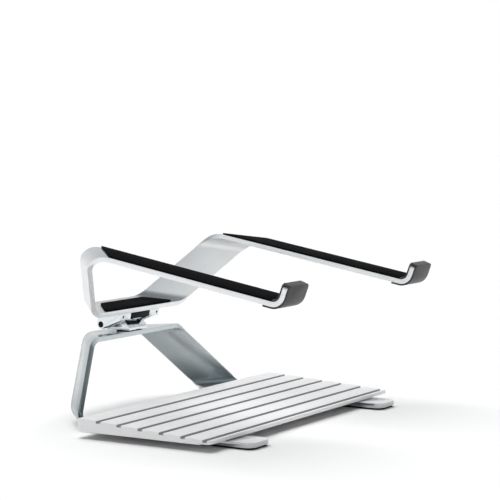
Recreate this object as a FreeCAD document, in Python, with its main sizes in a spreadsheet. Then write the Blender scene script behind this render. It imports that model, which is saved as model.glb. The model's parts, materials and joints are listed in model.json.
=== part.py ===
import FreeCAD, Part
import Sketcher
import math
import os
import re
from FreeCAD import Placement, Rotation, Vector

# A laptop stand made of two folded aluminium strips, one above the other,
# joined by a hinge that tilts and a spindle that swivels. The lower strip
# carries a slatted deck on its two feet. Millimetres; +Z is up, +X is the
# user's right, -Y faces the user, and the floor is z = 0.

SIZES = {
    # folded strips
    "strip_width": 40.5,
    "strip_gauge": 5.5,
    "fold_angle": 69.5,
    "half_span": 167.0,
    "bracket_rise": 79.0,
    "lower_bend": 9.0,
    "upper_bend": 12.0,
    # feet and floor pads
    "pad_gauge": 2.0,
    "pad_inset": 2.0,
    "foot_reach": 126.63,
    "foot_corner": 10.0,
    "lower_front": 130.37,
    # slatted deck
    "deck_width": 402.0,
    "deck_rear": 73.37,
    "deck_depth": 170.0,
    "deck_rear_height": 14.5,
    "deck_front_height": 4.8,
    "deck_edge_round": 4.5,
    "lip_reach": 12.0,
    "lip_lift": 1.0,
    "deck_corner": 5.0,
    "slat_first": 29.2,
    "slat_pitch": 26.9,
    "groove_width": 5.6,
    "groove_depth": 2.6,
    "deck_screw_inset": 20.0,
    "screw_od": 4.0,
    "screw_head": 8.0,
    "deck_screw_length": 8.5,
    "key_corner": 1.3,
    "key_depth": 1.6,
    # clearances: between mating faces, past a screw's tip, and past a cut face
    "fit_gap": 0.05,
    "tip_gap": 0.2,
    "cut_past": 1.0,
    # swivel
    "swivel_ahead": 13.0,
    "washer_od": 30.0,
    "washer_gauge": 1.2,
    "spindle_od": 10.0,
    "flange_od": 18.0,
    "flange_gauge": 2.4,
    "stud_od": 5.0,
    "stud_proud": 0.5,
    "nut_flats": 8.0,
    "nut_gauge": 3.0,
    "spring_od": 9.6,
    "spring_gauge": 0.7,
    "spring_cone": 0.3,
    "swivel_floor": 4.0,
    "well_gap": 0.7,
    # tilt hinge
    "tilt_rest": 10.2,
    "hinge_lift": 9.0,
    "hinge_back": 27.0,
    "base_setback": 0.5,
    "barrel_od": 11.0,
    "pin_od": 6.0,
    "bush_od": 8.4,
    "bush_apart": 1.0,
    "knuckle_half": 18.5,
    "thrust_gauge": 1.0,
    "hinge_half": 39.0,
    "cap_od": 7.0,
    "cap_depth": 3.0,
    "cap_dome": 0.8,
    "cap_bevel": 1.0,
    "nose_height": 2.8,
    "shoulder_back": 7.5,
    "shoulder_height": 3.5,
    "yoke_drop": 18.5,
    "yoke_nose": 7.5,
    "yoke_web": 4.0,
    "yoke_screw_wall": 1.0,
    "yoke_screw_span": 58.0,
    "yoke_screw_pitch": 14.0,
    "yoke_screw_length": 13.0,
    "grub_od": 3.0,
    "grub_length": 8.0,
    "grub_inset": 4.5,
    "grub_key_od": 1.5,
    "grub_key_depth": 2.4,
    "stop_depth": 4.4,
    # arms
    "arm_reach": 292.5,
    "arm_pad_gauge": 2.0,
    "hook_bend": 9.0,
    "hook_angle": 80.0,
    "hook_tip": 12.0,
    "hook_corner": 4.0,
    "sleeve_gauge": 2.0,
    "sleeve_tail": 10.0,
    "centre_pad_half": 70.5,
    "centre_pad_depth": 28.0,
    "centre_pad_inset": 1.0,
    "centre_pad_gauge": 2.0,
    "soft_corner": 3.0,
}
SLAT_GROOVES = 6
DECK_SCREWS_PER_FOOT = 3
YOKE_SCREWS_PER_SIDE = 2
NEAR = 0.01

doc = FreeCAD.newDocument("laptop_stand")
sheet = doc.addObject("Spreadsheet::Sheet", "Sizes")
for row, (name, value) in enumerate(SIZES.items(), start=1):
    sheet.set(f"A{row}", name)
    sheet.set(f"B{row}", str(value))
    sheet.setAlias(f"B{row}", name)
doc.recompute()

# Places that several pieces share, as expressions over the sheet.
FOOT_TOP = "(pad_gauge + strip_gauge)"
PLATE_TOP = "(pad_gauge + 2 * strip_gauge + bracket_rise)"
HINGE_Y = "(lower_front + hinge_back)"
HINGE_Z = f"({PLATE_TOP} + hinge_lift)"
BASE_FLOOR = "(washer_gauge - hinge_lift)"
FOOT_MIDDLE = "(half_span - strip_width / 2)"
HEAD_PLATE = "(yoke_drop + strip_gauge)"
ARM_TOP = f"({HEAD_PLATE} + bracket_rise + strip_gauge)"
GRUB_X = "(hinge_half - grub_inset)"
GRUB_Z = "(yoke_drop - yoke_nose / 2)"
YOKE_SCREW_Y = "(centre_pad_depth - hinge_back - screw_head / 2 - yoke_screw_wall)"

# A hexagon's corners, one unit from its middle to a flat.
HEXAGON = [(round(math.cos(turn) / math.cos(math.pi / 6), 6),
            round(math.sin(turn) / math.cos(math.pi / 6), 6))
           for turn in (math.radians(60 * count) for count in range(6))]


def bound(expression):
    """The expression with each size's name pointed at its cell."""
    def cell(word):
        return f"Sizes.{word.group()}" if word.group() in SIZES else word.group()
    return re.sub(r"[a-z_]+", cell, str(expression))


def worth(expression):
    """The number that an expression comes to."""
    found = sheet.evalExpression(bound(expression))
    return float(found.Value) if hasattr(found, "Value") else float(found)


# ---- where a piece stands: on the floor frame, the swivel or the tilted head

def stand_at(piece, frame, ahead="0", up="0"):
    """Put a piece on the floor frame, or on the hinge axis, level or tilted."""
    y = f"{HINGE_Y} + ({ahead})" if frame != "floor" else ahead
    z = f"{HINGE_Z} + ({up})" if frame != "floor" else up
    turn = worth("tilt_rest") if frame == "head" else 0.0
    piece.Placement = Placement(Vector(0, worth(y), worth(z)), Rotation(Vector(1, 0, 0), turn))
    if piece.TypeId != "Part::Feature":
        piece.setExpression("Placement.Base.y", bound(y))
        piece.setExpression("Placement.Base.z", bound(z))


# ---- sketches whose corners are bound to the sheet

PLANES = {"XY": "XY_Plane", "XZ": "XZ_Plane", "YZ": "YZ_Plane"}


def new_body(name):
    body = doc.addObject("PartDesign::Body", name)
    body.Label = name
    return body


def new_sketch(body, name, plane, lift=None):
    sketch = body.newObject("Sketcher::SketchObject", name)
    flat = [part for part in body.Origin.OriginFeatures if part.Role == PLANES[plane]][0]
    sketch.AttachmentSupport = [(flat, "")]
    sketch.MapMode = "FlatFace"
    if lift is not None:
        sketch.setExpression("AttachmentOffset.Base.z", bound(lift))
    return sketch


def tie(sketch, kind, geometry, point, expression):
    """Hold one point's distance from the sketch's origin to the sheet."""
    number = sketch.addConstraint(
        Sketcher.Constraint(kind, -1, 1, geometry, point, worth(expression)))
    sketch.setExpression(f"Constraints[{number}]", bound(expression))


def draw_outline(sketch, corners):
    """A closed outline of straight lines through bound corners."""
    spots = [Vector(worth(x), worth(y), 0) for x, y in corners]
    first = sketch.GeometryCount
    total = len(spots)
    for index in range(total):
        sketch.addGeometry(Part.LineSegment(spots[index], spots[(index + 1) % total]))
    for index in range(total):
        follower = first + (index + 1) % total
        sketch.addConstraint(Sketcher.Constraint("Coincident", first + index, 2, follower, 1))
    for index, (x, y) in enumerate(corners):
        tie(sketch, "DistanceX", first + index, 1, x)
        tie(sketch, "DistanceY", first + index, 1, y)


def draw_circle(sketch, x, y, radius):
    number = sketch.addGeometry(
        Part.Circle(Vector(worth(x), worth(y), 0), Vector(0, 0, 1), worth(radius)))
    tie(sketch, "DistanceX", number, 3, x)
    tie(sketch, "DistanceY", number, 3, y)
    rim = sketch.addConstraint(Sketcher.Constraint("Radius", number, worth(radius)))
    sketch.setExpression(f"Constraints[{rim}]", bound(radius))


def pad(body, sketch, name, length, centred=False):
    made = body.newObject("PartDesign::Pad", name)
    made.Profile = sketch
    made.Midplane = centred
    made.setExpression("Length", bound(length))
    return made


def pocket(body, sketch, name, length, centred=False, reverse=False):
    made = body.newObject("PartDesign::Pocket", name)
    made.Profile = sketch
    made.Midplane = centred
    made.Reversed = reverse
    made.setExpression("Length", bound(length))
    return made


def side_profile(body, name, corners, length):
    """A solid of one side profile, run the same distance to left and right."""
    sketch = new_sketch(body, f"{name}_sketch", "YZ")
    draw_outline(sketch, corners)
    return pad(body, sketch, name, length, centred=True)


def side_barrel(body, name, radius, length):
    sketch = new_sketch(body, f"{name}_sketch", "YZ")
    draw_circle(sketch, "0", "0", radius)
    return pad(body, sketch, name, length, centred=True)


def side_bore(body, name, radius, length):
    sketch = new_sketch(body, f"{name}_sketch", "YZ")
    draw_circle(sketch, "0", "0", radius)
    return pocket(body, sketch, name, length, centred=True)


def turned(name, axis, corners):
    """A body turned about the sketch's own axis: H_Axis runs along X, V_Axis along Z."""
    body = new_body(name)
    sketch = new_sketch(body, f"{name}_sketch", "XZ")
    draw_outline(sketch, corners)
    made = body.newObject("PartDesign::Revolution", f"{name}_turn")
    made.Profile = sketch
    made.ReferenceAxis = (sketch, [axis])
    made.Angle = 360.0
    return body


def round_edges(body, base, name, radius, chosen):
    """Fillet the edges of a body's last feature that a test picks."""
    doc.recompute()
    edges = [f"Edge{i + 1}" for i, edge in enumerate(base.Shape.Edges) if chosen(edge)]
    made = body.newObject("PartDesign::Fillet", name)
    made.Base = (base, edges)
    made.setExpression("Radius", bound(radius))
    return made


def runs_up(edge):
    """True for a straight edge that runs along the body's own Z."""
    if len(edge.Vertexes) != 2:
        return False
    start, end = (corner.Point for corner in edge.Vertexes)
    return math.hypot(end.x - start.x, end.y - start.y) < NEAR < abs(end.z - start.z)


# ---- the folded strip, which both brackets share

SLANT = 1 / math.sqrt(2)
FOLD_AXIS = Vector(-SLANT, SLANT, 0)
OUTWARD = Vector(SLANT, SLANT, 0)
UP = Vector(0, 0, 1)


class Fold:
    """The right half of a strip that runs along +X on top, folds down a
    slanting leg along a 45 degree line, and folds under to run along -Y.
    Its own origin is the strip's front edge on the plate's inner face."""

    def __init__(self, bend):
        self.width = worth("strip_width")
        self.gauge = worth("strip_gauge")
        self.bend = bend
        self.neutral = bend + self.gauge / 2
        self.lean = math.radians(worth("fold_angle"))
        rest = math.pi - self.lean
        rise = worth("bracket_rise")
        bends_rise = bend * (1 - math.cos(self.lean)) + bend * (1 + math.cos(self.lean))
        self.leg = (rise - bends_rise) / math.sin(self.lean)
        self.travel = self.neutral * self.lean + self.leg + self.neutral * rest
        self.depth = self.leg * math.cos(self.lean)
        self.start = worth("half_span") - SLANT * (self.depth + self.travel)

    def spoke(self, turn):
        """The direction from a bend's centre to the strip after some turn."""
        return UP * math.cos(turn) + OUTWARD * math.sin(turn)

    def section(self, corner, turn):
        """The strip's cut face, parallel to the fold axis, as a wire."""
        across = FOLD_AXIS * (self.width / SLANT)
        through = self.spoke(turn) * self.gauge
        ring = [corner, corner + across, corner + across + through, corner + through]
        return Part.makePolygon(ring + ring[:1])

    def bent(self, centre, start, stop):
        """One bend: the cut face carried round a helix about the fold axis."""
        arc = (stop - start) * self.neutral
        low = centre + self.spoke(start) * self.bend
        drift = FOLD_AXIS * (-arc)
        helix = Part.makeHelix(2 * math.pi * self.neutral, arc, self.bend, 0, True)
        # The helix climbs its own Z from its own X, so X is laid on the first
        # spoke and Z against the fold axis.
        away = FOLD_AXIS * -1
        frame = Rotation(self.spoke(start), away.cross(self.spoke(start)), away, "ZXY")
        helix.Placement = Placement(centre, frame)
        shell = Part.BRepOffsetAPI.MakePipeShell(Part.Wire(helix.Edges))
        shell.setBiNormalMode(FOLD_AXIS)
        shell.add(self.section(low, start))
        shell.build()
        shell.makeSolid()
        return shell.shape(), centre + drift + self.spoke(stop) * self.bend

    def straight(self, corner, turn, distance):
        """A straight run after some turn, and the corner that it ends at."""
        heading = OUTWARD * math.cos(turn) - UP * math.sin(turn) - FOLD_AXIS
        face = Part.Face(self.section(corner, turn))
        return face.extrude(heading * distance), corner + heading * distance


def slab(corners, gauge):
    """A flat plate through corners, thickened by gauge along Z."""
    ring = [Vector(*corner) for corner in corners]
    return Part.Face(Part.makePolygon(ring + ring[:1])).extrude(Vector(0, 0, gauge))


def folded_strip(bend, front, reach):
    """The whole strip: plate, two legs and two runs that end at y = reach.
    The plate's front edge is at y = front and its inner face at z = 0."""
    fold = Fold(bend)
    width = fold.width
    begin = Vector(fold.start, front, 0)
    plate = slab([(-begin.x, front, 0), (begin.x, front, 0),
                  (begin.x - width, front + width, 0), (width - begin.x, front + width, 0)],
                 fold.gauge)
    upper, corner = fold.bent(begin - UP * bend, 0, fold.lean)
    leg, corner = fold.straight(corner, fold.lean, fold.leg)
    centre = corner - fold.spoke(fold.lean) * bend
    lower, corner = fold.bent(centre, fold.lean, math.pi)
    outer, inner = corner.x, corner.x - width
    run = slab([(outer, corner.y, corner.z), (inner, corner.y + width, corner.z),
                (inner, reach, corner.z), (outer, reach, corner.z)], -fold.gauge)
    half = [upper, leg, lower, run]
    mirrored = [piece.mirror(Vector(0, 0, 0), Vector(1, 0, 0)) for piece in half]
    return plate, half, mirrored


def joined(pieces):
    return pieces[0].multiFuse(pieces[1:]).removeSplitter()


def feature(name, shape, frame):
    piece = doc.addObject("Part::Feature", name)
    piece.Label = name
    piece.Shape = shape
    stand_at(piece, frame)
    return piece


# ---- the two brackets

def drilled(shape, holes):
    return shape.cut(holes[0].multiFuse(holes[1:])) if len(holes) > 1 else shape.cut(holes[0])


def countersunk_hole(spot, facing, depth):
    """A screw's hole: a cone for its head at the outer face, then its shank."""
    gap = worth("fit_gap")
    head, shank = worth("screw_head") / 2 + gap, worth("screw_od") / 2 + gap
    cone = Part.makeCone(head, shank, head - shank, spot, facing)
    return cone.fuse(Part.makeCylinder(shank, depth, spot, facing))


def deck_screw_spots():
    front = worth("deck_rear - deck_depth + deck_screw_inset")
    rear = worth("deck_rear - deck_screw_inset")
    step = (rear - front) / (DECK_SCREWS_PER_FOOT - 1)
    middle = worth(FOOT_MIDDLE)
    return [Vector(side * middle, front + step * count, worth("pad_gauge"))
            for side in (-1, 1) for count in range(DECK_SCREWS_PER_FOOT)]


def yoke_screw_spots():
    reach, pitch = worth("yoke_screw_span") / 2, worth("yoke_screw_pitch")
    return [Vector(side * reach, worth(YOKE_SCREW_Y) - pitch * count, worth(HEAD_PLATE))
            for side in (-1, 1) for count in range(YOKE_SCREWS_PER_SIDE)]


def make_lower_bracket():
    plate, right, left = folded_strip(worth("lower_bend"), 0, worth("- foot_reach - lower_front"))
    strip = joined([plate] + right + left)
    strip.translate(Vector(0, worth("lower_front"), worth(f"{FOOT_TOP} + bracket_rise")))
    strip = round_feet(strip)
    axis = Vector(0, worth(f"{HINGE_Y} - swivel_ahead"), worth(f"{PLATE_TOP} - strip_gauge"))
    gap = worth("fit_gap")
    holes = [Part.makeCylinder(worth("flange_od") / 2 + gap, worth("flange_gauge"), axis),
             Part.makeCylinder(worth("spindle_od") / 2 + gap, worth("strip_gauge"), axis)]
    holes += [countersunk_hole(spot, UP, worth("strip_gauge")) for spot in deck_screw_spots()]
    feature("lower_bracket", drilled(strip, holes), "floor")


def round_feet(strip):
    """Round the upright edges at the feet's front ends."""
    front = -worth("foot_reach")
    edges = [edge for edge in strip.Edges
             if runs_up(edge) and abs(edge.CenterOfMass.y - front) < NEAR]
    return strip.makeFillet(worth("foot_corner"), edges)


def hook_blank(grow_in, grow_out, extra):
    """A hook's section swept from the arm's end: a bend, then a straight tip.
    It is made at x = 0 and thickened inwards, outwards and past the tip."""
    bend, gauge = worth("hook_bend"), worth("strip_gauge")
    near, far = bend - grow_in, bend + gauge + grow_out
    turn = math.radians(worth("hook_angle"))
    tip = worth("hook_tip") + extra
    centre = Vector(0, -worth("arm_reach"), worth(ARM_TOP) + bend)

    def spoke(angle, radius):
        return centre + Vector(0, -math.sin(angle), -math.cos(angle)) * radius

    rise = Vector(0, -math.cos(turn), math.sin(turn)) * tip
    edges = [
        Part.Arc(spoke(0, far), spoke(turn / 2, far), spoke(turn, far)).toShape(),
        Part.makeLine(spoke(turn, far), spoke(turn, far) + rise),
        Part.makeLine(spoke(turn, far) + rise, spoke(turn, near) + rise),
        Part.makeLine(spoke(turn, near) + rise, spoke(turn, near)),
        Part.Arc(spoke(turn, near), spoke(turn / 2, near), spoke(0, near)).toShape(),
        Part.makeLine(spoke(0, near), spoke(0, far)),
    ]
    return Part.Face(Part.Wire(edges))


def ahead_of_tip(edge):
    """True for a short edge across the strip's gauge at the hook's tip."""
    middle = edge.CenterOfMass
    turn = math.radians(worth("hook_angle"))
    centre = Vector(0, -worth("arm_reach"), worth(ARM_TOP) + worth("hook_bend"))
    along = (middle - centre).dot(Vector(0, -math.cos(turn), math.sin(turn)))
    return along > worth("hook_tip") - NEAR and len(edge.Vertexes) == 2 and abs(
        edge.Vertexes[0].Point.x - edge.Vertexes[1].Point.x) < NEAR


def one_hook(middle, grow_in, grow_out, extra):
    """A hook as wide as the strip, centred on x = middle, its top corners rounded."""
    width, corner = worth("strip_width"), worth("hook_corner")
    face = hook_blank(grow_in, grow_out, extra)
    face.translate(Vector(middle - width / 2, 0, 0))
    hook = face.extrude(Vector(width, 0, 0))
    return hook.makeFillet(corner, [edge for edge in hook.Edges if ahead_of_tip(edge)])


def make_upper_bracket():
    plate, right, left = folded_strip(worth("upper_bend"), 0, worth("hinge_back - arm_reach"))
    strip = joined([plate] + right + left)
    strip = strip.mirror(Vector(0, 0, 0), UP)
    strip.translate(Vector(0, -worth("hinge_back"), worth(HEAD_PLATE)))
    hooks = [one_hook(side * worth(FOOT_MIDDLE), 0, 0, 0) for side in (-1, 1)]
    holes = [countersunk_hole(spot, -UP, worth("strip_gauge")) for spot in yoke_screw_spots()]
    feature("upper_bracket", drilled(joined([strip] + hooks), holes), "head")


# ---- the deck and the floor pads

def deck_corners():
    """The deck's side profile: a wedge on the feet with a groove before each
    slat and a front lip that stands a little clear of the feet."""
    rear, floor = "deck_rear", FOOT_TOP
    slope = "((deck_rear_height - deck_front_height) / deck_depth)"

    def top(back):
        return f"({FOOT_TOP} + deck_rear_height - ({back}) * {slope})"

    corners = [(rear, floor), (rear, top("0"))]
    for count in range(SLAT_GROOVES):
        near = f"(slat_first + {count} * slat_pitch - groove_width / 2)"
        far = f"({near} + groove_width)"
        corners += [(f"deck_rear - {near}", top(near)),
                    (f"deck_rear - {near}", f"{top(near)} - groove_depth"),
                    (f"deck_rear - {far}", f"{top(far)} - groove_depth"),
                    (f"deck_rear - {far}", top(far))]
    front, lip = "deck_rear - deck_depth", f"{FOOT_TOP} + lip_lift"
    seat = f"{front} + lip_reach"
    return corners + [(front, top("deck_depth")), (front, lip), (seat, lip), (seat, floor)]


def draw_corner(sketch, side, edge, inward):
    """The scrap outside one rounded corner: side is the sign of x, edge the
    corner's y, and inward the sign that leads back onto the deck."""
    out = "+" if side == "" else "-"
    back = "-" if side == "" else "+"
    away = "+" if inward == "-" else "-"
    x, y = f"({side}deck_width / 2)", f"({edge})"
    on_end = (f"{x} {back} deck_corner", y)
    on_side = (x, f"{y} {inward} deck_corner")
    past_x, past_y = f"{x} {out} cut_past", f"{y} {away} cut_past"
    ring = [on_end, (on_end[0], past_y), (past_x, past_y), (past_x, on_side[1]), on_side]
    spots = [Vector(worth(a), worth(b), 0) for a, b in ring]
    first = sketch.GeometryCount
    for index in range(len(ring) - 1):
        sketch.addGeometry(Part.LineSegment(spots[index], spots[index + 1]))
        tie(sketch, "DistanceX", first + index, 1, ring[index][0])
        tie(sketch, "DistanceY", first + index, 1, ring[index][1])
        if index:
            sketch.addConstraint(
                Sketcher.Constraint("Coincident", first + index - 1, 2, first + index, 1))
    last = first + len(ring) - 2
    tie(sketch, "DistanceX", last, 2, on_side[0])
    tie(sketch, "DistanceY", last, 2, on_side[1])
    radius = worth("deck_corner")
    centre = Vector(spots[0].x, spots[4].y, 0)
    diagonal = (spots[0] + spots[4] - centre * 2).normalize()
    bow = sketch.addGeometry(Part.Arc(spots[4], centre + diagonal * radius, spots[0]))
    starts_on_side = sketch.getPoint(bow, 1).distanceToPoint(spots[4]) < radius / 2
    start, stop = (1, 2) if starts_on_side else (2, 1)
    sketch.addConstraint(Sketcher.Constraint("Coincident", bow, start, last, 2))
    sketch.addConstraint(Sketcher.Constraint("Coincident", bow, stop, first, 1))
    number = sketch.addConstraint(Sketcher.Constraint("Radius", bow, radius))
    sketch.setExpression(f"Constraints[{number}]", bound("deck_corner"))


def make_deck():
    body = new_body("deck_panel")
    block = side_profile(body, "deck_profile", deck_corners(), "deck_width")
    rear = worth("deck_rear")
    rim = worth(f"{FOOT_TOP} + deck_rear_height")

    def rear_rim(edge):
        middle = edge.CenterOfMass
        return abs(middle.z - rim) < NEAR and abs(middle.y - rear) < NEAR

    body.Tip = round_edges(body, block, "deck_rear_round", "deck_edge_round", rear_rim)
    scrap = new_sketch(body, "deck_corner_sketch", "XY")
    for side in ("-", ""):
        draw_corner(scrap, side, "deck_rear", "-")
        draw_corner(scrap, side, "deck_rear - deck_depth", "+")
    pocket(body, scrap, "deck_corners", f"{FOOT_TOP} + deck_rear_height + cut_past",
           reverse=True)
    sketch = new_sketch(body, "deck_holes_sketch", "XY", FOOT_TOP)
    step = f"((deck_depth - 2 * deck_screw_inset) / {DECK_SCREWS_PER_FOOT - 1})"
    for side in ("-", ""):
        for count in range(DECK_SCREWS_PER_FOOT):
            draw_circle(sketch, f"{side}{FOOT_MIDDLE}",
                        f"deck_rear - deck_screw_inset - {count} * {step}",
                        "screw_od / 2 + fit_gap")
    pocket(body, sketch, "deck_holes", "deck_screw_length - strip_gauge + tip_gap", reverse=True)
    stand_at(body, "floor")


def make_foot_pads():
    for name, side in (("foot_pad_left", "-"), ("foot_pad_right", "")):
        body = new_body(name)
        sketch = new_sketch(body, f"{name}_sketch", "XY")
        near = f"{side}(half_span - pad_inset)"
        far = f"{side}(half_span - strip_width + pad_inset)"
        front, rear = "pad_inset - foot_reach", "deck_rear - pad_inset"
        draw_outline(sketch, [(near, front), (far, front), (far, rear), (near, rear)])
        block = pad(body, sketch, f"{name}_block", "pad_gauge")
        limit = worth("pad_inset - foot_reach")
        body.Tip = round_edges(body, block, f"{name}_nose", "foot_corner - pad_inset",
                               lambda edge: runs_up(edge) and edge.CenterOfMass.y < limit + NEAR)
        body.Tip = round_edges(body, body.Tip, f"{name}_heel", "soft_corner",
                               lambda edge: runs_up(edge) and edge.CenterOfMass.y > 0)
        stand_at(body, "floor")


def screw(length, facing):
    """A countersunk screw with a hexagon socket, its head's face at the origin."""
    head, shank = worth("screw_head") / 2, worth("screw_od") / 2
    cone = Part.makeCone(head, shank, head - shank, Vector(0, 0, 0), facing)
    rod = Part.makeCylinder(shank, length, Vector(0, 0, 0), facing)
    key = Part.makePolygon([Vector(math.cos(turn), math.sin(turn), 0) * worth("key_corner")
                            for turn in (math.radians(60 * count) for count in range(7))])
    socket = Part.Face(key).extrude(facing * worth("key_depth"))
    return cone.fuse(rod).removeSplitter().cut(socket)


def make_screws():
    low = screw(worth("deck_screw_length"), UP)
    feature("deck_screws",
            Part.makeCompound([low.translated(spot) for spot in deck_screw_spots()]), "floor")
    high = screw(worth("yoke_screw_length"), -UP)
    feature("yoke_screws",
            Part.makeCompound([high.translated(spot) for spot in yoke_screw_spots()]), "head")


# ---- the swivel

def stand_on_swivel(body):
    stand_at(body, "swivel", ahead="-swivel_ahead")


def make_swivel():
    under = "(-hinge_lift - strip_gauge)"
    shoulder = f"({BASE_FLOOR} - fit_gap)"
    nut_seat = f"({BASE_FLOOR} + swivel_floor + spring_cone + spring_gauge)"
    stud_top = f"({nut_seat} + nut_gauge + stud_proud)"
    stand_on_swivel(turned("swivel_spindle", "V_Axis", [
        ("0", under), ("flange_od / 2", under), ("flange_od / 2", f"{under} + flange_gauge - fit_gap"),
        ("spindle_od / 2", f"{under} + flange_gauge - fit_gap"), ("spindle_od / 2", shoulder),
        ("stud_od / 2", shoulder), ("stud_od / 2", stud_top), ("0", stud_top)]))
    inner = "(spindle_od / 2 + 2 * fit_gap)"
    stand_on_swivel(turned("swivel_washer", "V_Axis", [
        (inner, "-hinge_lift"), ("washer_od / 2", "-hinge_lift"),
        ("washer_od / 2", shoulder), (inner, shoulder)]))
    seat = f"({BASE_FLOOR} + swivel_floor)"
    hole = "(stud_od / 2 + 2 * fit_gap)"
    stand_on_swivel(turned("disc_spring", "V_Axis", [
        (hole, f"{seat} + spring_cone"), ("spring_od / 2", seat),
        ("spring_od / 2", f"{seat} + spring_gauge"), (hole, f"{seat} + spring_cone + spring_gauge")]))
    nut = new_body("spindle_nut")
    outside = new_sketch(nut, "nut_sketch", "XY", nut_seat)
    reach = "(nut_flats / 2)"
    draw_outline(outside, [(f"{reach} * {x}", f"{reach} * {y}") for x, y in HEXAGON])
    draw_circle(outside, "0", "0", "stud_od / 2 + fit_gap")
    pad(nut, outside, "nut_block", "nut_gauge")
    stand_on_swivel(nut)


# ---- the tilt hinge

def make_hinge_base():
    body = new_body("hinge_base")
    front = "(base_setback - hinge_back)"
    side_profile(body, "base_block", [
        (front, BASE_FLOOR), (front, f"{BASE_FLOOR} + nose_height"),
        ("shoulder_back - hinge_back", "shoulder_height"), ("0", "barrel_od / 2"),
        ("barrel_od / 2", "0"), ("barrel_od / 2", BASE_FLOOR)], "2 * knuckle_half")
    side_barrel(body, "base_barrel", "barrel_od / 2", "2 * knuckle_half")
    side_bore(body, "base_bore", "bush_od / 2", "2 * (knuckle_half + cut_past)")
    well = new_sketch(body, "nut_well_sketch", "XY", f"{BASE_FLOOR} + swivel_floor")
    draw_circle(well, "0", "-swivel_ahead", "nut_flats / sqrt(3) + well_gap")
    pocket(body, well, "nut_well", "barrel_od", reverse=True)
    hole = new_sketch(body, "stud_hole_sketch", "XY", f"{BASE_FLOOR} - cut_past")
    draw_circle(hole, "0", "-swivel_ahead", "stud_od / 2 + fit_gap")
    pocket(body, hole, "stud_hole", "swivel_floor + 2 * cut_past", reverse=True)
    stand_at(body, "swivel")


def make_hinge_yoke():
    body = new_body("hinge_yoke")
    front, top = "(-hinge_back)", "yoke_drop"
    side_profile(body, "yoke_block", [
        (front, f"{top} - yoke_nose"), (front, top), ("barrel_od / 2", top),
        ("barrel_od / 2", "0"), ("0", "-barrel_od / 2")], "2 * hinge_half")
    side_barrel(body, "yoke_barrel", "barrel_od / 2", "2 * hinge_half")
    middle = new_sketch(body, "yoke_gap_sketch", "YZ")
    shelf = f"({top} - yoke_web)"
    behind, below = "(barrel_od / 2 + cut_past)", "(-barrel_od / 2 - cut_past)"
    ahead, above = f"({front} - cut_past)", f"({top} + cut_past)"
    back = f"({front} + stop_depth + 2 * fit_gap)"
    draw_outline(middle, [(ahead, below), (behind, below), (behind, shelf),
                          (back, shelf), (back, above), (ahead, above)])
    pocket(body, middle, "yoke_gap", "2 * (knuckle_half + thrust_gauge)", centred=True)
    side_bore(body, "yoke_bore", "pin_od / 2 + fit_gap / 2", "2 * (hinge_half + cut_past)")
    for name, side in (("left", "-"), ("right", "")):
        recess = new_sketch(body, f"cap_seat_{name}_sketch", "YZ", f"{side}(hinge_half - cap_depth)")
        draw_circle(recess, "0", "0", "cap_od / 2 + fit_gap")
        pocket(body, recess, f"cap_seat_{name}", "cap_depth + cut_past", reverse=side == "")
    holes = new_sketch(body, "yoke_holes_sketch", "XY", top)
    for side in ("-", ""):
        for count in range(YOKE_SCREWS_PER_SIDE):
            draw_circle(holes, f"{side}yoke_screw_span / 2",
                        f"{YOKE_SCREW_Y} - {count} * yoke_screw_pitch", "screw_od / 2 + fit_gap")
    pocket(body, holes, "yoke_holes", "yoke_screw_length - strip_gauge + tip_gap")
    grubs = new_sketch(body, "grub_holes_sketch", "XZ", "hinge_back")
    for side in ("-", ""):
        draw_circle(grubs, f"{side}{GRUB_X}", GRUB_Z, "grub_od / 2 + fit_gap")
    pocket(body, grubs, "grub_holes", "grub_length + tip_gap")
    stand_at(body, "head")


def make_hinge_pieces():
    reach = "(hinge_half - cap_depth)"
    gap = "fit_gap"
    stand_at(turned("hinge_pin", "H_Axis", [
        (f"-{reach}", "0"), (reach, "0"), (reach, "pin_od / 2"),
        (f"-{reach}", "pin_od / 2")]), "head")
    for name, side in (("left", "-"), ("right", "")):
        stand_at(turned(f"bush_{name}", "H_Axis", [
            (f"{side}bush_apart / 2", f"pin_od / 2 + {gap}"),
            (f"{side}knuckle_half", f"pin_od / 2 + {gap}"),
            (f"{side}knuckle_half", f"bush_od / 2 - {gap}"),
            (f"{side}bush_apart / 2", f"bush_od / 2 - {gap}")]), "swivel")
        near, far = f"{side}(knuckle_half + {gap})", f"{side}(knuckle_half + thrust_gauge - {gap})"
        stand_at(turned(f"thrust_washer_{name}", "H_Axis", [
            (near, f"pin_od / 2 + {gap}"), (far, f"pin_od / 2 + {gap}"),
            (far, "barrel_od / 2"), (near, "barrel_od / 2")]), "head")
        stand_at(turned(f"pin_cap_{name}", "H_Axis", [
            (f"{side}{reach}", "0"), (f"{side}{reach}", "cap_od / 2"),
            (f"{side}hinge_half", "cap_od / 2"),
            (f"{side}(hinge_half + cap_dome)", "cap_od / 2 - cap_bevel"),
            (f"{side}(hinge_half + cap_dome)", "0")]), "head")
    stop = new_body("tilt_stop")
    side_profile(stop, "stop_block", [
        ("-hinge_back", "yoke_drop - yoke_nose"), ("-hinge_back", "yoke_drop - fit_gap"),
        ("stop_depth - hinge_back", "yoke_drop - fit_gap"),
        ("stop_depth - hinge_back", "yoke_drop - yoke_nose")],
        "2 * (knuckle_half + thrust_gauge - fit_gap)")
    stand_at(stop, "head")
    middle, inward = Vector(0, 0, 0), Vector(0, 1, 0)
    grub = Part.makeCylinder(worth("grub_od") / 2, worth("grub_length"), middle, inward)
    key = Part.makeCylinder(worth("grub_key_od") / 2, worth("grub_key_depth"), middle, inward)
    grub = grub.cut(key)
    spots = [Vector(side * worth(GRUB_X), worth("-hinge_back"), worth(GRUB_Z)) for side in (-1, 1)]
    feature("grub_screws", Part.makeCompound([grub.translated(spot) for spot in spots]), "head")


# ---- the soft pieces on the upper bracket

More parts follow.
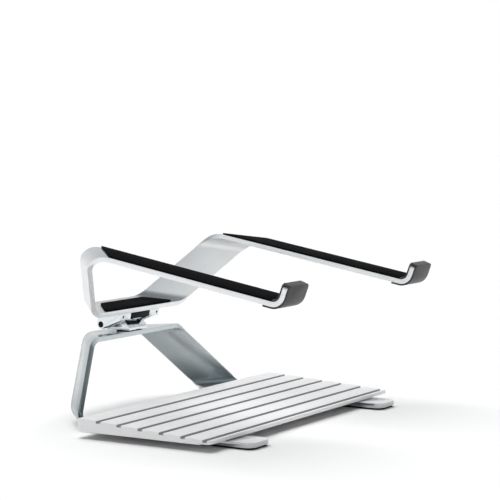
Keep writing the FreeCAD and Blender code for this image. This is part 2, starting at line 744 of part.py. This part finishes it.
def make_centre_pad():
    body = new_body("centre_pad")
    sketch = new_sketch(body, "centre_pad_sketch", "XY", HEAD_PLATE)
    front = "(centre_pad_inset - hinge_back)"
    rear = f"({front} + centre_pad_depth)"
    short = "(centre_pad_half - centre_pad_depth)"
    draw_outline(sketch, [("-centre_pad_half", front), ("centre_pad_half", front),
                          (short, rear), (f"-{short}", rear)])
    block = pad(body, sketch, "centre_pad_block", "centre_pad_gauge")
    body.Tip = round_edges(body, block, "centre_pad_corners", "soft_corner", runs_up)
    stand_at(body, "head")


def make_arm_pads():
    fold = Fold(worth("upper_bend"))
    rear_corner = worth("-hinge_back") + SLANT * (fold.depth - fold.travel)
    width, gap = fold.width, worth("fit_gap")
    outer, low = fold.start + SLANT * (fold.depth + fold.travel), worth(ARM_TOP)
    front = -worth("arm_reach")
    for name, side in (("arm_pad_left", -1), ("arm_pad_right", 1)):
        shape = slab([(side * outer, rear_corner, low), (side * outer, front, low),
                      (side * (outer - width), front, low),
                      (side * (outer - width), rear_corner + width, low)],
                     worth("arm_pad_gauge"))
        feature(name, shape, "head")


def make_hook_sleeves():
    gauge, span = worth("sleeve_gauge"), worth("half_span") + worth("strip_width")
    strip = hook_blank(0, 0, 0)
    strip.translate(Vector(-span, 0, 0))
    strip = strip.extrude(Vector(2 * span, 0, 0))
    width, tail = worth("strip_width"), worth("sleeve_tail")
    under = worth(f"{ARM_TOP} - strip_gauge - sleeve_gauge")
    for name, side in (("hook_sleeve_left", -1), ("hook_sleeve_right", 1)):
        middle = side * worth(FOOT_MIDDLE)
        blank = one_hook(middle, gauge, gauge, gauge)
        flap = Part.makeBox(width, tail, gauge,
                            Vector(middle - width / 2, worth("-arm_reach"), under))
        feature(name, blank.cut(strip).fuse(flap).removeSplitter(), "head")


# ---- build, check and write

def main():
    make_lower_bracket()
    make_deck()
    make_foot_pads()
    make_screws()
    make_swivel()
    make_hinge_base()
    make_hinge_yoke()
    make_hinge_pieces()
    make_upper_bracket()
    make_centre_pad()
    make_arm_pads()
    make_hook_sleeves()
    doc.recompute()
    for thing in doc.Objects:
        if "Invalid" in thing.State or "Error" in thing.State:
            raise RuntimeError(f"{thing.Label} did not build: {thing.State}")
    pieces = [thing for thing in doc.Objects
              if thing.TypeId == "PartDesign::Body" or thing.TypeId == "Part::Feature"]
    for piece in pieces:
        if piece.Shape.isNull() or not piece.Shape.isValid():
            raise RuntimeError(f"{piece.Label} has no valid shape")
    os.makedirs("parts", exist_ok=True)
    for piece in pieces:
        piece.Shape.exportStep(f"parts/{piece.Label}.step")
        print(f"{piece.Label}: {len(piece.Shape.Solids)} solid(s), {piece.Shape.Volume:.1f} mm3")


main()
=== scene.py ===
import json
import math

import bpy
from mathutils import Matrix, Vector

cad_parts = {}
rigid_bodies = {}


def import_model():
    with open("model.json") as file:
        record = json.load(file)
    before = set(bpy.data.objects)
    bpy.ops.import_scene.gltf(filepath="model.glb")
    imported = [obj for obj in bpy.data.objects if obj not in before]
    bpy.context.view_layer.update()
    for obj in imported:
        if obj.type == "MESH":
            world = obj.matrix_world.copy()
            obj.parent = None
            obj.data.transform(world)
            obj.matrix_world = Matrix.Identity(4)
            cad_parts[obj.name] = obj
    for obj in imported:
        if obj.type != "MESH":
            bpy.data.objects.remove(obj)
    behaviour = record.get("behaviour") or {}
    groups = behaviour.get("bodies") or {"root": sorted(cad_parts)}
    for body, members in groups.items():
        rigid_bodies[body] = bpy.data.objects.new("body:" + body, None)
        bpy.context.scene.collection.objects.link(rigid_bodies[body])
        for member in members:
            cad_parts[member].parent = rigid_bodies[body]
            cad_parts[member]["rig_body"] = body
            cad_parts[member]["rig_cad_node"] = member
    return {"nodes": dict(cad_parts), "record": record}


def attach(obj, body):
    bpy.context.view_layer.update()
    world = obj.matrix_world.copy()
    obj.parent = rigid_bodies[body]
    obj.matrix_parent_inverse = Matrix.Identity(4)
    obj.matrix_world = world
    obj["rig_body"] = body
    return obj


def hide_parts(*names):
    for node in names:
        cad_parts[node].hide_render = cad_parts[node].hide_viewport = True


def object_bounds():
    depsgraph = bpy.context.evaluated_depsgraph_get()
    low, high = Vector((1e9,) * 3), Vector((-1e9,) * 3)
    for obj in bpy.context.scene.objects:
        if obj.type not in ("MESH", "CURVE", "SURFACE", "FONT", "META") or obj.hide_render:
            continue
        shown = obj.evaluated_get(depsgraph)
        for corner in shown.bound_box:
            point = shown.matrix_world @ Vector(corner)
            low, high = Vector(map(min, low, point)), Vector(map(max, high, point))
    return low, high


# The looks of a laptop stand: two folded aluminium strips joined by a hinge.
# The lower one carries a slatted deck on its feet, and the upper one ends in
# hooked arms. Metres; +Z is up and -Y faces the user.

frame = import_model()
cad_low, cad_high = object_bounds()
nodes = frame["nodes"]
SLOT_OF = {part["node"]: part["material_slot"] for part in frame["record"]["subparts"]}
BODY_OF = {name: node["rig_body"] for name, node in nodes.items()}
MM = 0.001

# Patterns on the skins, in waves per metre.
MOTTLE = 40.0
WORN_PATCHES = 90.0
WIPED_PATCHES = 28.0
# The pointiness of a rim where wear starts, and where it is full.
WEAR_STARTS, WEAR_FULL = 0.52, 0.62
# The part of the noise's range that a wiped patch fades over.
WIPE_FROM, WIPE_TO = 0.35, 0.65
GRAIN_STRENGTH = 0.6

# Rolled edges: the angle that counts as an edge, and the steps round it.
SHARP = math.radians(32)
ROLL_STEPS = 3
# Corners this close, and faces this nearly flat, are merged before that.
SAME_SPOT = 0.002 * MM
SAME_PLANE = math.radians(0.6)

# The grooves: how far below the slats' tops they start, the margins at the
# deck's front and rear that hold none, and how squarely a face has to look.
GROOVE_STARTS = 0.7 * MM
FRONT_MARGIN, REAR_MARGIN = 2 * MM, 10 * MM
SQUARELY = 0.9
# A face that looks up and is larger than this, in square metres, tops a slat.
SLAT_AREA = 0.001

# The lower strip's painted light: a painted highlight on its feet, painted shade at
# its folds, a painted dark reflection on its top; heights above the floor, and the shade at
# each.
LOWER_PAINTED_SHADING = [
    (0.0, (0.42, 0.43, 0.44)), (7.1 * MM, (0.50, 0.51, 0.52)), (7.4 * MM, (0.90, 0.91, 0.92)),
    (8.0 * MM, (0.88, 0.90, 0.91)), (11.0 * MM, (0.17, 0.21, 0.22)),
    (24.0 * MM, (0.27, 0.32, 0.335)), (52.0 * MM, (0.53, 0.58, 0.59)),
    (84.0 * MM, (0.52, 0.57, 0.58)), (92.6 * MM, (0.62, 0.66, 0.67)),
    (92.9 * MM, (0.19, 0.235, 0.25)), (100.0 * MM, (0.19, 0.235, 0.25)),
]

# The room: a floor, a broad light overhead and a pale surround, whose shades
# run from the horizon (0) to straight up (1).
FLOOR_RADIUS, FLOOR_SIDES, FLOOR_DROP = 14.0, 96, 0.2 * MM
FLOOR_SHADE, FLOOR_ROUGHNESS, FLOOR_SHINE = 0.80, 0.9, 0.1
LIGHT_POWER, LIGHT_SPREAD = 3.7, math.radians(64)
LIGHT_HEADING = Vector((-0.12, -0.30, -1))
BACKDROP_GLOW = 1.0
DULL_SHARE = 0.32
SURROUND = [
    (0.0, (0.88, 0.89, 0.90)), (0.16, (0.86, 0.87, 0.88)), (0.58, (0.66, 0.68, 0.69)),
    (0.80, (0.26, 0.275, 0.285)), (1.0, (0.16, 0.175, 0.185)),
]

# The camera looks from the user's left, a little above the arms.
EYE = (-1.7045, -1.0532, 0.3431)
EYE_AZIMUTH, EYE_ELEVATION = math.radians(-58.86), math.radians(4.31)
LENS_MM, SENSOR_MM = 126.8, 36.0


# ---- nodes of a material

def add_node(tree, kind, **sockets):
    """One shader node, with values for its input sockets by name."""
    made = tree.nodes.new(kind)
    for name, value in sockets.items():
        made.inputs[name.replace("_", " ")].default_value = value
    return made


def add_math(tree, operation):
    made = tree.nodes.new("ShaderNodeMath")
    made.operation = operation
    return made


def add_blend(tree, **colours):
    """A node that mixes two colours."""
    made = tree.nodes.new("ShaderNodeMix")
    made.data_type = "RGBA"
    for name, colour in colours.items():
        made.inputs[name].default_value = (*colour, 1)
    return made


def add_ramp(tree, bands):
    """A ramp through (position, colour) pairs, from position 0 to 1."""
    made = tree.nodes.new("ShaderNodeValToRGB")
    stops = made.color_ramp.elements
    stops[0].color = (*bands[0][1], 1)
    stops[1].color = (*bands[-1][1], 1)
    for position, colour in bands[1:-1]:
        stops.new(position).color = (*colour, 1)
    return made


def new_group(name, inputs, output_names):
    """An empty node group with a vector and float inputs, and float outputs."""
    group = bpy.data.node_groups.new(name, "ShaderNodeTree")
    group.interface.new_socket("Vector", in_out="INPUT", socket_type="NodeSocketVector")
    for label, value in inputs.items():
        socket = group.interface.new_socket(label, in_out="INPUT", socket_type="NodeSocketFloat")
        socket.default_value = value
    for label in output_names:
        group.interface.new_socket(label, in_out="OUTPUT", socket_type="NodeSocketFloat")
    return group, group.nodes.new("NodeGroupInput"), group.nodes.new("NodeGroupOutput")


def make_grain_group():
    """Fine grain of a blasted or moulded skin, with slow mottling over it."""
    group, given, put_out = new_group("skin_grain", {"Grains per metre": 3000.0},
                                      ["Height", "Mottle"])
    grain = add_node(group, "ShaderNodeTexNoise", Detail=2.0, Roughness=0.6)
    mottle = add_node(group, "ShaderNodeTexNoise", Scale=MOTTLE, Detail=3.0, Roughness=0.55)
    link = group.links.new
    link(given.outputs["Vector"], grain.inputs["Vector"])
    link(given.outputs["Vector"], mottle.inputs["Vector"])
    link(given.outputs["Grains per metre"], grain.inputs["Scale"])
    link(grain.outputs[0], put_out.inputs["Height"])
    link(mottle.outputs[0], put_out.inputs["Mottle"])
    return group


def make_edge_group():
    """Where handling has polished the piece's outer edges."""
    group, given, put_out = new_group("edge_polish", {"Amount": 0.5}, ["Mask"])
    shape = group.nodes.new("ShaderNodeNewGeometry")
    rims = add_node(group, "ShaderNodeMapRange", From_Min=WEAR_STARTS, From_Max=WEAR_FULL)
    patches = add_node(group, "ShaderNodeTexNoise", Scale=WORN_PATCHES, Detail=3.0)
    broken = add_math(group, "MULTIPLY")
    scaled = add_math(group, "MULTIPLY")
    link = group.links.new
    link(given.outputs["Vector"], patches.inputs["Vector"])
    link(shape.outputs["Pointiness"], rims.inputs["Value"])
    link(rims.outputs["Result"], broken.inputs[0])
    link(patches.outputs[0], broken.inputs[1])
    link(broken.outputs[0], scaled.inputs[0])
    link(given.outputs["Amount"], scaled.inputs[1])
    link(scaled.outputs[0], put_out.inputs["Mask"])
    return group


def make_wipe_group():
    """Faint wiped patches, where a hand has changed how dull the skin is."""
    group, given, put_out = new_group("wiped_patches", {"Base": 0.4, "Spread": 0.06},
                                      ["Roughness"])
    patches = add_node(group, "ShaderNodeTexNoise", Scale=WIPED_PATCHES, Detail=4.0,
                       Roughness=0.6)
    fade = add_node(group, "ShaderNodeMapRange", From_Min=WIPE_FROM, From_Max=WIPE_TO,
                    To_Min=-1.0)
    spread = add_math(group, "MULTIPLY_ADD")
    link = group.links.new
    link(given.outputs["Vector"], patches.inputs["Vector"])
    link(patches.outputs[0], fade.inputs["Value"])
    link(fade.outputs["Result"], spread.inputs[0])
    link(given.outputs["Spread"], spread.inputs[1])
    link(given.outputs["Base"], spread.inputs[2])
    link(spread.outputs[0], put_out.inputs["Roughness"])
    return group


GRAIN = make_grain_group()
EDGES = make_edge_group()
WIPES = make_wipe_group()


def place_group(tree, group, vector, **values):
    placed = tree.nodes.new("ShaderNodeGroup")
    placed.node_tree = group
    tree.links.new(vector, placed.inputs["Vector"])
    for name, value in values.items():
        placed.inputs[name.replace("_", " ")].default_value = value
    return placed


def painted_shade_by_height(tree, place, colour, bands):
    """The colour multiplied by painted shade and highlights that change with height."""
    top = bands[-1][0]
    split = tree.nodes.new("ShaderNodeSeparateXYZ")
    height = add_node(tree, "ShaderNodeMapRange", From_Max=top)
    ramp = add_ramp(tree, [(level / top, tint) for level, tint in bands])
    both = add_blend(tree)
    both.blend_type = "MULTIPLY"
    both.inputs["Factor"].default_value = 1.0
    link = tree.links.new
    link(place, split.inputs[0])
    link(split.outputs["Z"], height.inputs["Value"])
    link(height.outputs["Result"], ramp.inputs["Fac"])
    link(colour, both.inputs["A"])
    link(ramp.outputs["Color"], both.inputs["B"])
    return both.outputs["Result"]


def make_finish(name, dark, light, edge, roughness, spread, grains, depth, wear,
                metallic=0.0, shine=0.5, bands=()):
    """A skin whose colour drifts from dark to light and wears to edge at its rims.
    Grains are counted per metre and depth is their height; bands paint shade and highlights by
    height."""
    material = bpy.data.materials.new(name)
    material.use_nodes = True
    tree = material.node_tree
    shader = tree.nodes["Principled BSDF"]
    shader.inputs["Metallic"].default_value = metallic
    shader.inputs["Specular IOR Level"].default_value = shine
    place = tree.nodes.new("ShaderNodeTexCoord").outputs["Object"]
    skin = place_group(tree, GRAIN, place, Grains_per_metre=grains)
    rims = place_group(tree, EDGES, place, Amount=wear)
    dullness = place_group(tree, WIPES, place, Base=roughness, Spread=spread)
    drift = add_blend(tree, A=dark, B=light)
    worn = add_blend(tree, B=edge)
    bump = add_node(tree, "ShaderNodeBump", Strength=GRAIN_STRENGTH, Distance=depth)
    colour = drift.outputs["Result"]
    # Painted shade, highlights and reflections laid on by height.
    if bands:
        colour = painted_shade_by_height(tree, place, colour, bands)
    link = tree.links.new
    link(skin.outputs["Mottle"], drift.inputs["Factor"])
    link(colour, worn.inputs["A"])
    link(rims.outputs["Mask"], worn.inputs["Factor"])
    link(worn.outputs["Result"], shader.inputs["Base Color"])
    link(dullness.outputs["Roughness"], shader.inputs["Roughness"])
    link(skin.outputs["Height"], bump.inputs["Height"])
    link(bump.outputs["Normal"], shader.inputs["Normal"])
    return material


# ---- the finishes

def satin_aluminium():
    return make_finish(
        "satin_aluminium", dark=(0.76, 0.77, 0.775), light=(0.84, 0.85, 0.855),
        edge=(0.93, 0.94, 0.95), roughness=0.36, spread=0.04, grains=3200.0,
        depth=0.03 * MM, wear=0.7, metallic=1.0)


# The lower strip's skin, with painted shade, highlights and dark reflections by height.
def polished_aluminium_painted_shade():
    return make_finish(
        "polished_aluminium_painted_shade", dark=(0.90, 0.90, 0.90), light=(1.0, 1.0, 1.0),
        edge=(0.84, 0.87, 0.88), roughness=0.19, spread=0.03, grains=2200.0,
        depth=0.01 * MM, wear=0.7, metallic=1.0, bands=LOWER_PAINTED_SHADING)


def deck_aluminium():
    return make_finish(
        "deck_aluminium", dark=(0.80, 0.80, 0.805), light=(0.87, 0.87, 0.875),
        edge=(0.93, 0.93, 0.93), roughness=0.40, spread=0.04, grains=3600.0,
        depth=0.04 * MM, wear=0.6, metallic=0.3)


# A darker copy of the deck's skin: painted shade for the grooves between the slats.
def groove_painted_shade():
    return make_finish(
        "groove_painted_shade", dark=(0.40, 0.40, 0.405), light=(0.48, 0.48, 0.485),
        edge=(0.50, 0.50, 0.50), roughness=0.55, spread=0.04, grains=3600.0,
        depth=0.04 * MM, wear=0.3, metallic=0.3)


def hinge_metal():
    return make_finish(
        "hinge_metal", dark=(0.70, 0.745, 0.77), light=(0.78, 0.82, 0.84),
        edge=(0.90, 0.92, 0.94), roughness=0.13, spread=0.04, grains=2600.0,
        depth=0.02 * MM, wear=0.8, metallic=1.0)


def turned_steel():
    return make_finish(
        "turned_steel", dark=(0.50, 0.51, 0.52), light=(0.62, 0.63, 0.64),
        edge=(0.80, 0.80, 0.81), roughness=0.28, spread=0.06, grains=2000.0,
        depth=0.02 * MM, wear=0.8, metallic=1.0)


def blackened_steel():
    return make_finish(
        "blackened_steel", dark=(0.02, 0.021, 0.023), light=(0.04, 0.042, 0.045),
        edge=(0.22, 0.22, 0.225), roughness=0.35, spread=0.06, grains=2000.0,
        depth=0.02 * MM, wear=0.7, metallic=1.0)


def moulded_black():
    return make_finish(
        "moulded_black", dark=(0.004, 0.006, 0.009), light=(0.009, 0.012, 0.016),
        edge=(0.05, 0.055, 0.06), roughness=0.50, spread=0.06, grains=2400.0,
        depth=0.05 * MM, wear=0.5, shine=0.08)


def black_rubber():
    return make_finish(
        "black_rubber", dark=(0.0015, 0.0015, 0.0018), light=(0.004, 0.004, 0.0045),
        edge=(0.02, 0.02, 0.021), roughness=0.88, spread=0.06, grains=1800.0,
        depth=0.08 * MM, wear=0.5, shine=0.04)


def grey_rubber():
    return make_finish(
        "grey_rubber", dark=(0.032, 0.032, 0.034), light=(0.044, 0.044, 0.046),
        edge=(0.16, 0.16, 0.165), roughness=0.40, spread=0.05, grains=1800.0,
        depth=0.06 * MM, wear=0.9, shine=0.35)


FINISHES = {
    "upper_aluminium": satin_aluminium(),
    "lower_aluminium": polished_aluminium_painted_shade(),
    "deck_aluminium": deck_aluminium(),
    "hinge_metal": hinge_metal(),
    "steel": turned_steel(),
    "dark_polymer": moulded_black(),
    "black_rubber": black_rubber(),
    "sleeve_rubber": grey_rubber(),
}


def dress(piece, slot):
    """Give a piece one finish all over: the one for its slot."""
    piece.data.materials.clear()
    piece.data.materials.append(FINISHES[slot])


# ---- pieces with rolled edges

def only(piece):
    """Select one object and make it the active one."""
    bpy.ops.object.select_all(action="DESELECT")
    piece.select_set(True)
    bpy.context.view_layer.objects.active = piece


def roll_edges(piece, radius):
    """Roll over every sharp edge, and shade the rest smooth."""
    only(piece)
    rounding = piece.modifiers.new("rolled_edges", "BEVEL")
    rounding.width = radius
    rounding.segments = ROLL_STEPS
    rounding.limit_method = "ANGLE"
    rounding.angle_limit = SHARP
    bpy.ops.object.modifier_apply(modifier=rounding.name)
    bpy.ops.object.shade_smooth_by_angle(angle=SHARP)


def finished_copy(node, name, radius):
    """A merged copy of a plain piece with rolled edges, which stands for it."""
    piece = nodes[node].copy()
    piece.data = nodes[node].data.copy()
    piece.name = name
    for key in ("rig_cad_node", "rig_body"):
        del piece[key]
    bpy.context.scene.collection.objects.link(piece)
    piece.parent = None
    only(piece)
    bpy.ops.object.mode_set(mode="EDIT")
    bpy.ops.mesh.select_all(action="SELECT")
    bpy.ops.mesh.remove_doubles(threshold=SAME_SPOT)
    bpy.ops.mesh.dissolve_limited(angle_limit=SAME_PLANE)
    bpy.ops.object.mode_set(mode="OBJECT")
    roll_edges(piece, radius)
    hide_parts(node)
    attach(piece, BODY_OF[node])
    dress(piece, SLOT_OF[node])
    return piece


# Each plain piece, the name of its finished copy and the radius of its edges.
ROLLED = [
    ("lower_bracket", "lower_strip", 0.55 * MM),
    ("upper_bracket", "upper_strip", 0.55 * MM),
    ("deck_panel", "slatted_deck", 0.45 * MM),
    ("hinge_yoke", "yoke_block", 0.4 * MM),
    ("hinge_base", "knuckle_block", 0.35 * MM),
    ("tilt_stop", "stop_block", 0.4 * MM),
    ("foot_pad_left", "foot_rubber_left", 0.6 * MM),
    ("foot_pad_right", "foot_rubber_right", 0.6 * MM),
    ("centre_pad", "plate_rubber", 0.6 * MM),
    ("arm_pad_left", "arm_rubber_left", 0.6 * MM),
    ("arm_pad_right", "arm_rubber_right", 0.6 * MM),
    ("hook_sleeve_left", "hook_rubber_left", 0.8 * MM),
    ("hook_sleeve_right", "hook_rubber_right", 0.8 * MM),
    ("swivel_washer", "swivel_ring", 0.25 * MM),
    ("pin_cap_left", "pin_end_left", 0.5 * MM),
    ("pin_cap_right", "pin_end_right", 0.5 * MM),
    ("deck_screws", "deck_screw_heads", 0.12 * MM),
]
finished = {node: finished_copy(node, name, radius) for node, name, radius in ROLLED}

for name, node in nodes.items():
    if not node.hide_render:
        dress(node, SLOT_OF[name])
# The grub screws are steel as well, but blackened.
nodes["grub_screws"].material_slots[0].material = blackened_steel()


def paint_groove_shade(deck):
    """Paint shade into the walls and floors of the grooves between the slats with a darker copy
    of the deck's skin: the faces that look along Y, or up, and lie under the slats' sloping
    tops."""
    # A second, darker skin: painted shade in the grooves.
    deck.data.materials.append(groove_painted_shade())
    rear = max(corner.co.y for corner in deck.data.vertices)
    front = min(corner.co.y for corner in deck.data.vertices)
    tops = [face for face in deck.data.polygons
            if face.normal.z > SQUARELY and face.area > SLAT_AREA]
    slope = tops[0].normal
    crest = max(face.center.dot(slope) for face in tops)
    for face in deck.data.polygons:
        inside = front + FRONT_MARGIN < face.center.y < rear - REAR_MARGIN
        sunk = crest - face.center.dot(slope) > GROOVE_STARTS
        if inside and sunk and (face.normal.z > SQUARELY or abs(face.normal.y) > SQUARELY):
            face.material_index = 1


paint_groove_shade(finished["deck_panel"])


# ---- floor, light and camera

def make_floor():
    bpy.ops.object.select_all(action="DESELECT")
    bpy.ops.mesh.primitive_circle_add(vertices=FLOOR_SIDES, radius=FLOOR_RADIUS,
                                      fill_type="NGON", location=(0, 0, cad_low.z - FLOOR_DROP))
    floor = bpy.context.object
    floor.name = "pale_floor"
    material = bpy.data.materials.new("pale_floor")
    material.use_nodes = True
    shader = material.node_tree.nodes["Principled BSDF"]
    shader.inputs["Base Color"].default_value = (FLOOR_SHADE, FLOOR_SHADE, FLOOR_SHADE, 1)
    shader.inputs["Roughness"].default_value = FLOOR_ROUGHNESS
    shader.inputs["Specular IOR Level"].default_value = FLOOR_SHINE
    floor.data.materials.append(material)


def make_light():
    """A very broad, soft light from above, a little behind the stand."""
    lamp = bpy.data.lights.new("soft_overhead", "SUN")
    lamp.angle = LIGHT_SPREAD
    lamp.energy = LIGHT_POWER
    light = bpy.data.objects.new("soft_overhead", lamp)
    bpy.context.scene.collection.objects.link(light)
    light.rotation_euler = LIGHT_HEADING.to_track_quat("-Z", "Y").to_euler()
    light.visible_glossy = False


def make_surround():
    """A pale surround: bright near the horizon and darker and cooler overhead,
    so that polished metal shades from light to dark as it turns upwards. It
    lights dull skins by a smaller share than it shows in shiny ones, and looks
    plain white where it is seen past the stand."""
    world = bpy.data.worlds.new("pale_surround")
    bpy.context.scene.world = world
    world.use_nodes = True
    tree = world.node_tree
    tree.nodes.clear()
    out = tree.nodes.new("ShaderNodeOutputWorld")
    lighting = tree.nodes.new("ShaderNodeBackground")
    backdrop = add_node(tree, "ShaderNodeBackground", Color=(1, 1, 1, 1), Strength=BACKDROP_GLOW)
    chosen = tree.nodes.new("ShaderNodeMixShader")
    seen = tree.nodes.new("ShaderNodeLightPath")
    heading = tree.nodes.new("ShaderNodeTexCoord")
    split = tree.nodes.new("ShaderNodeSeparateXYZ")
    ramp = add_ramp(tree, SURROUND)
    share = add_node(tree, "ShaderNodeMapRange", To_Min=1.0, To_Max=DULL_SHARE)
    link = tree.links.new
    link(heading.outputs["Generated"], split.inputs[0])
    link(split.outputs["Z"], ramp.inputs["Fac"])
    link(ramp.outputs["Color"], lighting.inputs["Color"])
    link(seen.outputs["Is Diffuse Ray"], share.inputs["Value"])
    link(share.outputs["Result"], lighting.inputs["Strength"])
    link(seen.outputs["Is Camera Ray"], chosen.inputs[0])
    link(lighting.outputs[0], chosen.inputs[1])
    link(backdrop.outputs[0], chosen.inputs[2])
    link(chosen.outputs[0], out.inputs["Surface"])


def make_camera():
    level = math.cos(EYE_ELEVATION)
    back = Vector((math.sin(EYE_AZIMUTH) * level, -math.cos(EYE_AZIMUTH) * level,
                   math.sin(EYE_ELEVATION)))
    view = bpy.data.cameras.new("stand_camera")
    view.sensor_width = SENSOR_MM
    view.lens = LENS_MM
    eye = bpy.data.objects.new("stand_camera", view)
    bpy.context.scene.collection.objects.link(eye)
    eye.location = EYE
    eye.rotation_euler = (-back).to_track_quat("-Z", "Y").to_euler()
    bpy.context.scene.camera = eye


make_floor()
make_surround()
make_light()
make_camera()
bpy.context.scene.view_settings.view_transform = "Standard"
